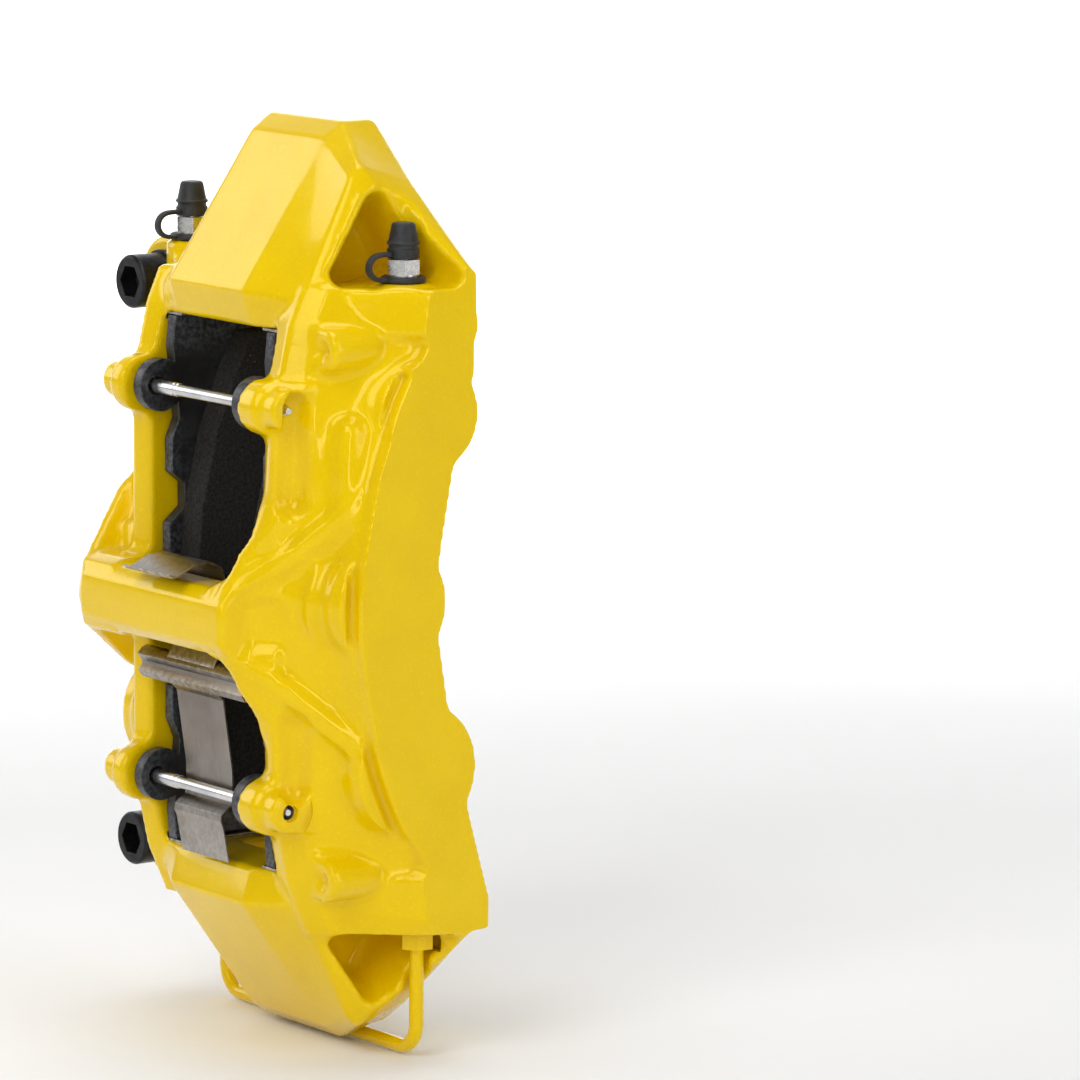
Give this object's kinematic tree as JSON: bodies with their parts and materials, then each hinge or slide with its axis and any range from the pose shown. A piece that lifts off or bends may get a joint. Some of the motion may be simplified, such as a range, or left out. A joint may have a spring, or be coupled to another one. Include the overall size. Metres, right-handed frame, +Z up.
{
  "type": "brake caliper",
  "caption": "Fixed brake caliper for a radial mount: opposed pistons in two cylinder banks squeeze a pair of sliding pads on a disc, with bleed screws and a crossover pipe.",
  "frame": {"origin": "midway between the two mounting bolts, on the face of the mounting lugs that rests on the carrier", "axes": "+Z up along the line through the two bolts, +X from the lug face towards the disc's centre, -Y towards the wheel; the disc turns about the line parallel to Y through X = 0.115 m, Z = 0"},
  "size_m": [0.1028, 0.1495, 0.3059],
  "materials": {
    "painted_casting": "gloss enamel over a cast aluminium body",
    "painted_fitting": "gloss enamel over steel pipe",
    "piston_steel": "hard anodised",
    "seal_rubber": "moulded",
    "plate_black": "satin powder coat",
    "friction": "pressed friction compound",
    "shim_steel": "rolled",
    "spring_steel": "rolled stainless",
    "bright_steel": "ground",
    "zinc": "zinc plated",
    "cap_rubber": "moulded",
    "black_bolt": "black oxide"
  },
  "bodies": {
    "caliper": {"caliper_body": "painted_casting", "outboard_upper_pressure_seal": "seal_rubber", "outboard_upper_dust_seal": "seal_rubber", "outboard_middle_pressure_seal": "seal_rubber", "outboard_middle_dust_seal": "seal_rubber", "outboard_lower_pressure_seal": "seal_rubber", "outboard_lower_dust_seal": "seal_rubber", "outboard_cap_tether": "cap_rubber", "outboard_tube_nut": "painted_fitting", "outboard_upper_abutment_plate": "spring_steel", "outboard_lower_abutment_plate": "spring_steel", "inboard_upper_pressure_seal": "seal_rubber", "inboard_upper_dust_seal": "seal_rubber", "inboard_middle_pressure_seal": "seal_rubber", "inboard_middle_dust_seal": "seal_rubber", "inboard_lower_pressure_seal": "seal_rubber", "inboard_lower_dust_seal": "seal_rubber", "inboard_cap_tether": "cap_rubber", "inboard_tube_nut": "painted_fitting", "inboard_upper_abutment_plate": "spring_steel", "inboard_lower_abutment_plate": "spring_steel", "upper_mounting_bolt": "black_bolt", "upper_mounting_washer": "black_bolt", "lower_mounting_bolt": "black_bolt", "lower_mounting_washer": "black_bolt", "abutment_screws": "bright_steel", "anti_rattle_spring": "spring_steel", "crossover_tube": "painted_fitting"},
    "outboard_pad": {"outboard_backing_plate": "plate_black", "outboard_friction_lining": "friction", "outboard_shim": "shim_steel"},
    "outboard_upper_piston": {"outboard_upper_piston": "piston_steel"},
    "outboard_middle_piston": {"outboard_middle_piston": "piston_steel"},
    "outboard_lower_piston": {"outboard_lower_piston": "piston_steel"},
    "outboard_bleeder": {"outboard_bleed_screw": "zinc"},
    "outboard_cap": {"outboard_bleed_cap": "cap_rubber"},
    "inboard_pad": {"inboard_backing_plate": "plate_black", "inboard_friction_lining": "friction", "inboard_shim": "shim_steel"},
    "inboard_upper_piston": {"inboard_upper_piston": "piston_steel"},
    "inboard_middle_piston": {"inboard_middle_piston": "piston_steel"},
    "inboard_lower_piston": {"inboard_lower_piston": "piston_steel"},
    "inboard_bleeder": {"inboard_bleed_screw": "zinc"},
    "inboard_cap": {"inboard_bleed_cap": "cap_rubber"},
    "upper_pin": {"upper_pad_pin": "bright_steel"},
    "lower_pin": {"lower_pad_pin": "bright_steel"}
  },
  "joints": [
    {"name": "outboard_pad_slide", "type": "slide", "parent": "caliper", "child": "outboard_pad", "axis": [0, 1, 0], "range_m": [0, 0.01]},
    {"name": "outboard_upper_piston_slide", "type": "slide", "parent": "caliper", "child": "outboard_upper_piston", "axis": [0, 1, 0], "range_m": [0, 0.01]},
    {"name": "outboard_middle_piston_slide", "type": "slide", "parent": "caliper", "child": "outboard_middle_piston", "axis": [0, 1, 0], "range_m": [0, 0.01]},
    {"name": "outboard_lower_piston_slide", "type": "slide", "parent": "caliper", "child": "outboard_lower_piston", "axis": [0, 1, 0], "range_m": [0, 0.01]},
    {"name": "outboard_bleed_turn", "type": "hinge", "parent": "caliper", "child": "outboard_bleeder", "pos_m": [-0.016, -0.12, 0.1047], "axis": [0, 0, 1], "range_deg": [0, 180]},
    {"name": "outboard_cap_lift", "type": "slide", "parent": "caliper", "child": "outboard_cap", "axis": [0, 0, 1], "range_m": [0, 0.0085], "deforming": ["outboard_cap_tether"]},
    {"name": "inboard_pad_slide", "type": "slide", "parent": "caliper", "child": "inboard_pad", "axis": [0, -1, 0], "range_m": [0, 0.01]},
    {"name": "inboard_upper_piston_slide", "type": "slide", "parent": "caliper", "child": "inboard_upper_piston", "axis": [0, -1, 0], "range_m": [0, 0.01]},
    {"name": "inboard_middle_piston_slide", "type": "slide", "parent": "caliper", "child": "inboard_middle_piston", "axis": [0, -1, 0], "range_m": [0, 0.01]},
    {"name": "inboard_lower_piston_slide", "type": "slide", "parent": "caliper", "child": "inboard_lower_piston", "axis": [0, -1, 0], "range_m": [0, 0.01]},
    {"name": "inboard_bleed_turn", "type": "hinge", "parent": "caliper", "child": "inboard_bleeder", "pos_m": [-0.0278, -0.0163, 0.11], "axis": [0, 0, 1], "range_deg": [0, 180]},
    {"name": "inboard_cap_lift", "type": "slide", "parent": "caliper", "child": "inboard_cap", "axis": [0, 0, 1], "range_m": [0, 0.0085], "deforming": ["inboard_cap_tether"]},
    {"name": "upper_pin_withdraw", "type": "slide", "parent": "caliper", "child": "upper_pin", "axis": [0, 1, 0], "range_m": [0, 0.11]},
    {"name": "lower_pin_withdraw", "type": "slide", "parent": "caliper", "child": "lower_pin", "axis": [0, 1, 0], "range_m": [0, 0.11]}
  ],
  "couplings": [
    {"joint": "outboard_upper_piston_slide", "follows": "outboard_pad_slide", "ratio": 1},
    {"joint": "outboard_middle_piston_slide", "follows": "outboard_pad_slide", "ratio": 1},
    {"joint": "outboard_lower_piston_slide", "follows": "outboard_pad_slide", "ratio": 1},
    {"joint": "inboard_upper_piston_slide", "follows": "inboard_pad_slide", "ratio": 1},
    {"joint": "inboard_middle_piston_slide", "follows": "inboard_pad_slide", "ratio": 1},
    {"joint": "inboard_lower_piston_slide", "follows": "inboard_pad_slide", "ratio": 1}
  ]
}
